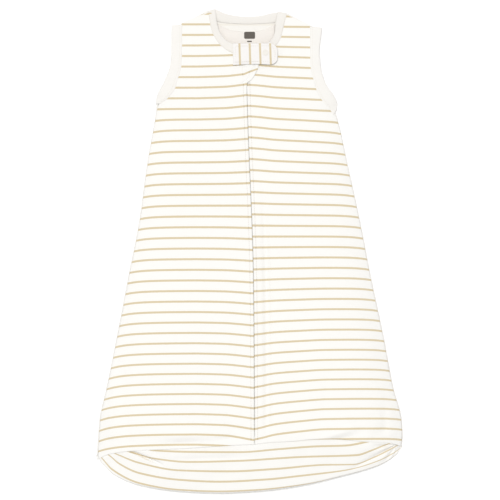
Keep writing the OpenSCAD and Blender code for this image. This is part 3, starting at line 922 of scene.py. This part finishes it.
def zip_side(side):
    s = -1 if side == "left" else 1
    y = np.arange(303, FLAP_END_Y - 4, -4.0)
    middle = zip_x(y)
    tape = strip("zip_tape_cloth_" + side, below_front(middle + s * 1.2, y, 2.6),
                 below_front(middle + s * 12, y, 2.6), 0.9, around=10, power=6.0)
    dress(tape, TAPE)
    bend(tape, side)
    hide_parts("zip_tape_" + side)
    pts, faces = [], []
    ring = np.linspace(0, 2 * math.pi, 7)[:-1]
    arch = np.array([(3.0, -0.6), (1.5, -0.7), (0.35, 0.0), (1.5, 0.7), (3.0, 0.6)])
    turn = np.array([(0.0, -1.0), (-0.3, -0.95), (-1.0, 0.0), (-0.3, 0.95), (0.0, 1.0)])
    for ty in np.arange(298 + s * 0.45, FLAP_END_Y, -1.9):
        mx = float(zip_x(ty)) + s * 1.2 * float(ramp(ty, -245, -262))
        mz = float(flat_h(ty)) - 3.7
        base = len(pts)
        for (ax, az), (nx, nz) in zip(arch, turn):
            for t in ring:
                out = 0.42 * math.cos(t)
                pts.append((mx + s * (ax + nx * out), ty + 0.42 * math.sin(t), mz + az + nz * out))
        for i in range(len(arch) - 1):
            for j in range(6):
                b = (j + 1) % 6
                faces.append((base + i * 6 + j, base + i * 6 + b, base + i * 6 + 6 + b,
                              base + i * 6 + 6 + j))
    p = np.array(pts)
    coil = build("zip_coil_loops_" + side, at(p[:, 0], p[:, 1], p[:, 2]), faces)
    fix_normals(coil)
    dress(coil, COIL)
    bend(coil, side)
    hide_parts("zip_coil_" + side)
    line_y = np.arange(257 if side == "left" else 262, ZIP_END_Y + 1, -3.0)
    x = zip_x(line_y) + (STITCH_LEFT if side == "left" else STITCH_RIGHT)
    sewn = stitches("zip_topstitch_row_" + side, [below_front(x, line_y, -0.25)])
    dress(sewn, THREAD)
    bend(sewn, side)
    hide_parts("zip_topstitch_" + side)


zip_side("left")
zip_side("right")

# Slider, built around the place of its CAD node; the pull, stops and snap parts keep their CAD shapes
# and get materials, and the end tape and tab base get the tape weave.


def on_zip(p):
    """Points of the zip's own frame (x across, y along, z off the front) in layout millimetres."""
    p = np.asarray(p, float)
    x = ZIP_MID_X + p[..., 0] * math.cos(ZIP_LEAN) - p[..., 1] * math.sin(ZIP_LEAN)
    y = p[..., 0] * math.sin(ZIP_LEAN) + p[..., 1] * math.cos(ZIP_LEAN)
    return x, y, flat_h(y) + p[..., 2]


def plate(outline, low, high, soft=0.35):
    """A flat plate with rounded edges from a closed outline."""
    o = np.asarray(outline, float)
    mid = o.mean(0)
    n = len(o)
    layers = [(low, 1 - soft / 4), (low + soft, 1.0), (high - soft, 1.0), (high, 1 - soft / 4)]
    pts = [(*(mid + (q - mid) * k), z) for z, k in layers for q in o]
    faces = [tuple(reversed(range(n))), tuple(3 * n + i for i in range(n))]
    for layer in range(3):
        faces += [(layer * n + i, layer * n + (i + 1) % n, (layer + 1) * n + (i + 1) % n,
                   (layer + 1) * n + i) for i in range(n)]
    return pts, faces


def joined(parts):
    pts, faces = [], []
    for p, f in parts:
        base = len(pts)
        pts += list(p)
        faces += [tuple(base + i for i in q) for q in f]
    return np.array(pts, float), faces


def slider():
    y0 = SLIDER_Y
    shape = [(-2.6, 7), (2.6, 7), (4.4, 5), (4.6, 1), (3.4, -4.5), (3.0, -7), (-3.0, -7),
             (-3.4, -4.5), (-4.6, 1), (-4.4, 5)]
    outline = [(x, y0 + y) for x, y in reversed(shape)]
    parts = [plate(outline, -6.2, -5.2), plate(outline, -2.2, -1.2)]
    for s in (-1, 1):
        ear = [(s * 2.1, y0 + 0.7), (s * 3.1, y0 + 0.7), (s * 3.1, y0 + 3.3), (s * 2.1, y0 + 3.3)]
        parts.append(plate(ear, -1.3, 1.6, 0.25))
    parts.append(plate([(-0.8, y0 + 3), (0.8, y0 + 3), (0.8, y0 + 6.5), (-0.8, y0 + 6.5)],
                       -5.3, -2.1, 0.1))
    a = np.linspace(0, 2 * math.pi, 16, endpoint=False)
    pin = [(x, y0 + 2 + 0.5 * math.cos(t), 0.7 + 0.5 * math.sin(t)) for x in (-2.6, 2.6) for t in a]
    parts.append((pin, [(i, (i + 1) % 16, 16 + (i + 1) % 16, 16 + i) for i in range(16)]))
    pts, faces = joined(parts)
    obj = build("zip_slider_body", at(*on_zip(pts)), faces, smooth=False)
    fix_normals(obj)
    dress(obj, METAL)
    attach(obj, "slider")
    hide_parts("zip_slider")


slider()
for node in ("zip_pull", "zip_top_stop_left", "zip_top_stop_right", "zip_bottom_stop",
             "snap_stud", "snap_stud_back_ring", "snap_socket", "snap_cap"):
    node_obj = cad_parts[node]
    node_obj.data.materials.clear()
    node_obj.data.materials.append(SNAP if node in ("snap_cap", "snap_socket") else METAL)
for node in ("zip_end_tape", "tab_base"):
    node_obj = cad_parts[node]
    uv = node_obj.data.uv_layers.new(name="cloth")
    for loop in node_obj.data.loops:
        co = node_obj.data.vertices[loop.vertex_index].co
        uv.data[loop.index].uv = (co.x * 1000, co.y * 1000)
    node_obj.data.materials.clear()
    node_obj.data.materials.append(TAPE)

# ---------------------------------------------------------------- tab


def tab_cloth(name, low, high, material, nodes):
    """One layer of the tab: rounded at its free end, softly puffed, with a rolled edge."""
    x0, x1, y0, y1, r = -23.5, 46.0, 288.2, 322.2, 13.0
    cy = (y0 + y1) / 2
    n_u, n_v = 70, 36
    u = np.linspace(0, 1, n_u)
    x = x0 + (x1 - x0) * u
    half = (y1 - y0) / 2 * np.ones(n_u)
    end = np.clip((x - (x1 - r)) / r, 0, 1)
    half = half - r * (1 - np.sqrt(np.clip(1 - end**2, 0, 1))) * 0.9
    v = np.linspace(-1, 1, n_v)[:, None]
    wave = 1.6 * np.sin(np.pi * (x - x0) / (x1 - x0))
    gx = np.repeat(x[None], n_v, 0)
    gy = cy + half[None] * v + wave[None] * (v < 0) * v * -1
    edge = np.minimum(half[None] * (1 - np.abs(v)), np.minimum(x - x0 + 3, x1 - x)[None])
    puff = 1 - np.exp(-np.clip(edge, 0, None) / 1.6)
    seam = bump(edge, 4.0, 0.9)
    sunk = ramp(gx, 15, 2) * ramp(edge, 8, 0)
    top = high - 0.9 * (1 - puff) - 0.35 * seam + 0.25 * np.sin(gx / 9) * np.sin(gy / 6)
    top = top - 1.1 * sunk
    bottom = low - 1.1 * sunk
    base = flat_h(gy)
    pts_top = np.stack([gx, gy, base + top], -1).reshape(-1, 3)
    pts_low = np.stack([gx, gy, base + bottom], -1).reshape(-1, 3)
    count = n_u * n_v
    quads = grid_faces(n_v, n_u)
    faces = [tuple(reversed(f)) for f in quads] + [tuple(i + count for i in f) for f in quads]
    rim = ([j for j in range(n_u)] + [i * n_u + n_u - 1 for i in range(1, n_v)]
           + [(n_v - 1) * n_u + j for j in range(n_u - 2, -1, -1)]
           + [i * n_u for i in range(n_v - 2, 0, -1)])
    faces += [(rim[k], rim[(k + 1) % len(rim)], rim[(k + 1) % len(rim)] + count, rim[k] + count)
              for k in range(len(rim))]
    p = np.concatenate([pts_top, pts_low])
    slant = 1.2 * (322 - p[:, 1]) / 34
    uv = np.column_stack([p[:, 1], (p[:, 0] - slant + 13.4) / 15.9])
    obj = build(name, at(p[:, 0], p[:, 1], p[:, 2]), faces, uv)
    fix_normals(obj)
    dress(obj, material)
    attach(obj, "tab")
    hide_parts(*nodes)


tab_cloth("tab_top_cloth", 4.15, 5.6, SHADED_TAB_CLOTH, ["tab_outer_layer"])
tab_cloth("tab_lining_cloth", 3.1, 4.1, SHADED_TAB_CLOTH, ["tab_under_layer"])


def tab_stitching():
    x0, x1, y0, y1, r = -19.6, 42.0, 292.8, 318.2, 9.5
    cx, pts = x1 - r, []
    pts += [(x, y1) for x in np.linspace(x0, cx, 14)]
    pts += [(cx + r * math.sin(t), (y1 - r) + r * math.cos(t)) for t in np.linspace(0, math.pi / 2, 8)]
    pts += [(cx + r * math.cos(t), (y0 + r) - r * math.sin(t)) for t in np.linspace(0, math.pi / 2, 8)]
    pts += [(x, y0 + 1.3 * math.sin(math.pi * (x - x0) / (x1 - x0))) for x in np.linspace(cx, x0, 14)]
    pts += [(x0, y) for y in np.linspace(y0, y1, 8)]
    p = np.array(pts)
    line = np.column_stack([p, flat_h(p[:, 1]) + 5.35])
    obj = stitches("tab_topstitch_row", [line])
    dress(obj, THREAD)
    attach(obj, "tab")
    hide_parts("tab_topstitch")


tab_stitching()

# ---------------------------------------------------------------- other stitching


def seam_rows():
    for side in ("left", "right"):
        pairs = ARM_LEFT if side == "left" else ARM_RIGHT
        seam = path([p[0] for p in pairs], 60)
        free = path([p[1] for p in pairs], 60)
        line = seam + (free - seam) * 0.14
        z = cloth_h(line[:, 0], line[:, 1]) + 0.55
        obj = stitches("armhole_stitch_row_" + side, [np.column_stack([line, z])])
        dress(obj, THREAD)
        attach(obj, "bag")
    left = [(-60, 366), (-58.3, 355), (-56, 345), (-52, 336), (-41, 320), (-25, 309.3), (-12, 305.6)]
    right = [(58.8, 364), (54.5, 350), (50, 333), (39.5, 317.8), (24, 308.5), (10, 305.4)]
    for side, pts in (("left", left), ("right", right)):
        line = path(pts, 60)
        obj = stitches("neck_stitch_row_" + side, [raised(line, 0.75)])
        dress(obj, THREAD)
        bend(obj, side)


seam_rows()

# ---------------------------------------------------------------- floor and light

floor = build("floor", [(-12, -12, -0.0004), (12, -12, -0.0004), (12, 12, -0.0004),
                        (-12, 12, -0.0004)], [(0, 1, 2, 3)], smooth=False)
floor_white, _, _, floor_shader = new_material("floor_white")
floor_shader.inputs["Base Color"].default_value = (0.95, 0.95, 0.95, 1)
floor_shader.inputs["Roughness"].default_value = 0.9
floor_shader.inputs["Emission Color"].default_value = (1, 1, 1, 1)
floor_shader.inputs["Emission Strength"].default_value = 0.06
floor.data.materials.append(floor_white)

world = bpy.data.worlds.new("studio")
bpy.context.scene.world = world
world.use_nodes = True
world.node_tree.nodes["Background"].inputs[0].default_value = (1, 1, 1, 1)
world.node_tree.nodes["Background"].inputs[1].default_value = 0.575

sun = bpy.data.objects.new("key", bpy.data.lights.new("key", "SUN"))
bpy.context.scene.collection.objects.link(sun)
sun.data.energy = 1.78
sun.data.angle = math.radians(14)
sun.rotation_mode = "QUATERNION"
sun.rotation_quaternion = Vector((0.09, -0.18, -1.0)).to_track_quat("-Z", "Y")
